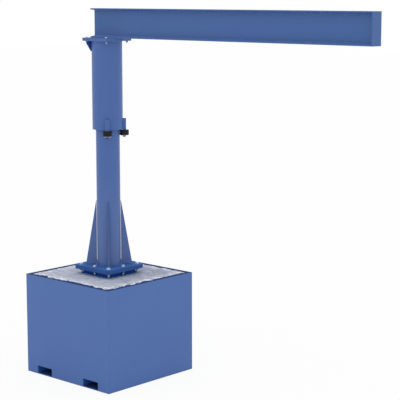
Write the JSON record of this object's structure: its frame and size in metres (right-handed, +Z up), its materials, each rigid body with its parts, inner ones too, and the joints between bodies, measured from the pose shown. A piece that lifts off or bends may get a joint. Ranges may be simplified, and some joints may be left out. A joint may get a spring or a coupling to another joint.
{
  "type": "pillar jib crane",
  "caption": "Pillar jib crane: round column on a concrete-filled steel base with fork pockets, sleeve with pressure rollers, and an I-beam jib that slews all round.",
  "frame": {"origin": "on the floor, in the middle of the underside of the base, on the axis of the column", "axes": "+Z up along the column, +X along the jib at rest, +Y to the left of the jib"},
  "size_m": [3.517, 1.09, 3.386],
  "materials": {
    "blue_paint": "semi-gloss",
    "plate_paint": "semi-gloss",
    "box_paint": "semi-gloss",
    "concrete": "rough",
    "zinc": "zinc plated",
    "turned_steel": "turned",
    "bronze": "turned",
    "roller_plastic": "satin"
  },
  "bodies": {
    "base": {"base_floor_plate": "box_paint", "base_front_wall": "box_paint", "base_back_wall": "box_paint", "base_left_wall": "box_paint", "base_right_wall": "box_paint", "base_top_rim": "box_paint", "fork_pocket_left": "box_paint", "fork_pocket_right": "box_paint", "concrete_fill": "concrete", "anchor_frame": "plate_paint", "anchor_flange": "plate_paint", "column_foot_plate": "plate_paint", "column_tube": "blue_paint", "gusset_front": "blue_paint", "gusset_right": "blue_paint", "gusset_back": "blue_paint", "gusset_left": "blue_paint", "foot_bolts": "zinc", "foot_nuts": "zinc", "column_cap": "blue_paint", "pivot_pin": "turned_steel", "thrust_washer": "bronze"},
    "jib": {"sleeve_tube": "blue_paint", "head_lower_plate": "blue_paint", "head_rib_left": "plate_paint", "head_rib_right": "plate_paint", "bearing_housing": "blue_paint", "bearing_bush": "bronze", "head_upper_plate": "blue_paint", "head_bolts": "zinc", "head_nuts": "zinc", "jib_beam": "blue_paint", "jib_end_plate": "blue_paint", "roller_bracket_left": "blue_paint", "roller_bracket_right": "blue_paint", "roller_axle_left": "zinc", "roller_axle_right": "zinc"},
    "roller_left": {"roller_hub_left": "turned_steel", "roller_tyre_left": "roller_plastic"},
    "roller_right": {"roller_hub_right": "turned_steel", "roller_tyre_right": "roller_plastic"}
  },
  "joints": [
    {"name": "jib_slew", "type": "hinge", "parent": "base", "child": "jib", "pos_m": [0, 0, 3.03], "axis": [0, 0, 1], "continuous": true},
    {"name": "roller_left_spin", "type": "hinge", "parent": "jib", "child": "roller_left", "pos_m": [0.10737, 0.10737, 2.257], "axis": [0, 0, 1], "continuous": true},
    {"name": "roller_right_spin", "type": "hinge", "parent": "jib", "child": "roller_right", "pos_m": [0.10737, -0.10737, 2.257], "axis": [0, 0, 1], "continuous": true}
  ],
  "couplings": [
    {"joint": "roller_left_spin", "follows": "jib_slew", "ratio": 2.6083},
    {"joint": "roller_right_spin", "follows": "jib_slew", "ratio": 2.6083}
  ]
}
